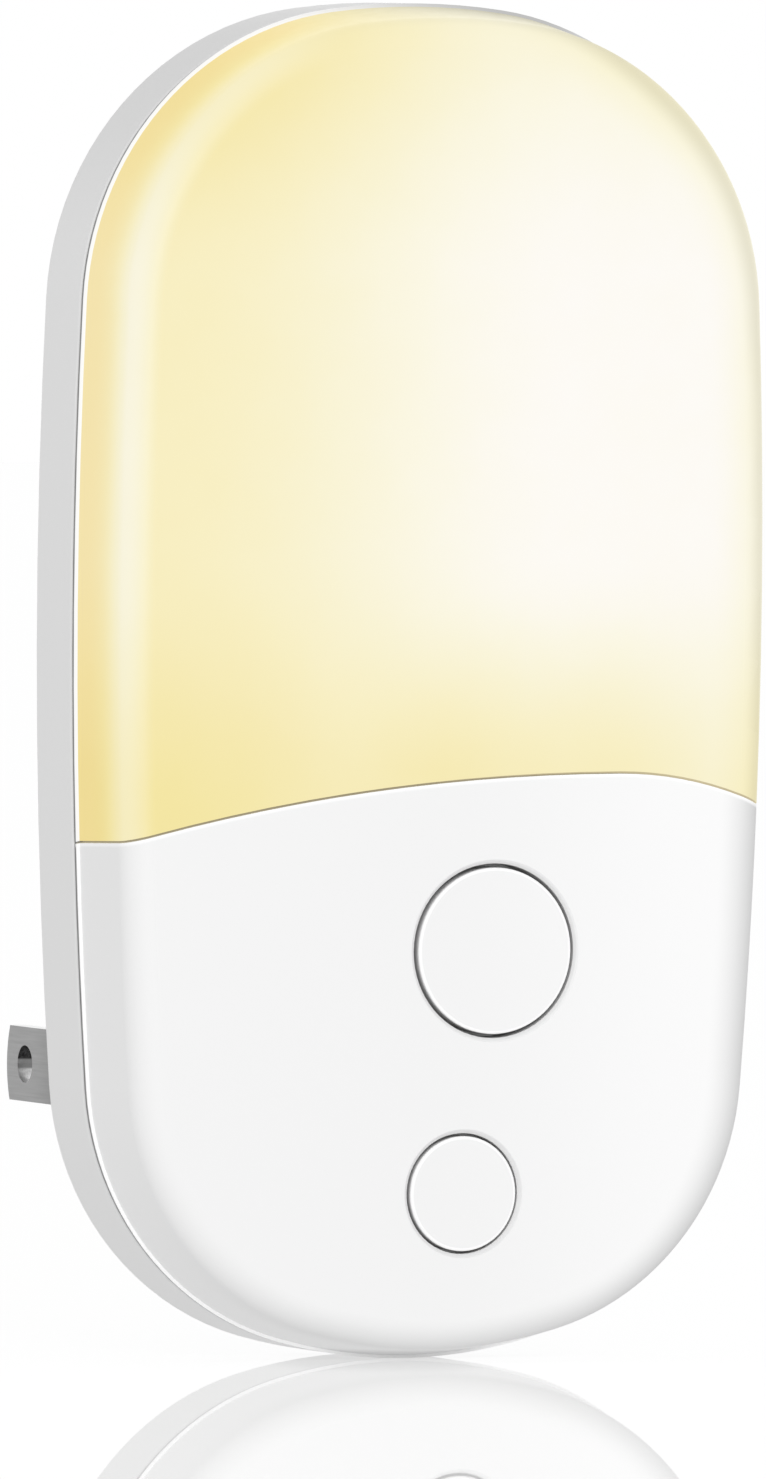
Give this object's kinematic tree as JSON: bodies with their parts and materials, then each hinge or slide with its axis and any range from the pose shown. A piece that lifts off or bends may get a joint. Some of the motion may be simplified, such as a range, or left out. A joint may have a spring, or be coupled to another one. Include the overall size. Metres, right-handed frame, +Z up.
{
  "type": "plug-in night light",
  "caption": "Flat plug-in night light: rounded white case, glowing milky upper diffuser, push button, light sensor window and flat-blade plug at the back.",
  "frame": {"origin": "midway between the plug's two blades, in the plane of the back face that meets the wall plate", "axes": "+X to the right seen from the front, +Y into the wall along the blades, +Z up; the front faces -Y"},
  "size_m": [0.062, 0.0342, 0.115],
  "materials": {
    "case_white": "satin white moulded polycarbonate",
    "cover_white": "satin white moulded polycarbonate",
    "diffuser_milky": "milky translucent polycarbonate, lit warm white from behind",
    "button_white": "satin white",
    "window_white": "translucent white",
    "blade_nickel": "brushed nickel plate on brass",
    "block_black": "moulded insulator",
    "board_green": "solder mask on glass fibre",
    "board_white": "white solder mask",
    "tray_white": "matt white reflector",
    "switch_black": "moulded",
    "plunger_white": "moulded",
    "tube_black": "matt",
    "cell_red": "coated ceramic disc",
    "film_red": "dipped",
    "can_aluminium": "sleeved can",
    "varistor_blue": "dipped",
    "chip_black": "moulded",
    "resistor_green": "coated",
    "wire_tinned": "tinned",
    "screw_steel": "zinc plated",
    "led_yellow": "phosphor in a white frame"
  },
  "bodies": {
    "case": {"rear_case": "case_white", "front_cover": "cover_white", "diffuser": "diffuser_milky", "sensor_window": "window_white", "left_blade": "blade_nickel", "right_blade": "blade_nickel", "plug_block": "block_black", "main_board": "board_green", "led_board": "board_white", "reflector_tray": "tray_white", "tact_switch": "switch_black", "sensor_tube": "tube_black", "photocell": "cell_red", "film_capacitor": "film_red", "electrolytic_capacitor": "can_aluminium", "varistor": "varistor_blue", "bridge_rectifier": "chip_black", "driver_chip": "chip_black", "fuse_resistor": "resistor_green", "board_links": "wire_tinned", "case_screws": "screw_steel", "board_screws": "screw_steel", "led_1": "led_yellow", "led_2": "led_yellow", "led_3": "led_yellow", "led_4": "led_yellow", "led_5": "led_yellow", "led_6": "led_yellow", "led_7": "led_yellow", "led_8": "led_yellow", "chip_resistor_1": "chip_black", "chip_resistor_2": "chip_black", "chip_resistor_3": "chip_black"},
    "button": {"mode_button": "button_white"},
    "plunger": {"switch_plunger": "plunger_white"}
  },
  "joints": [
    {"name": "button_press", "type": "slide", "parent": "case", "child": "button", "axis": [0, 1, 0], "range_m": [0, 0.0005], "stiffness_N_per_m": 2500},
    {"name": "plunger_press", "type": "slide", "parent": "case", "child": "plunger", "axis": [0, 1, 0], "range_m": [0, 0.0005]}
  ],
  "couplings": [
    {"joint": "plunger_press", "follows": "button_press", "ratio": 1}
  ]
}
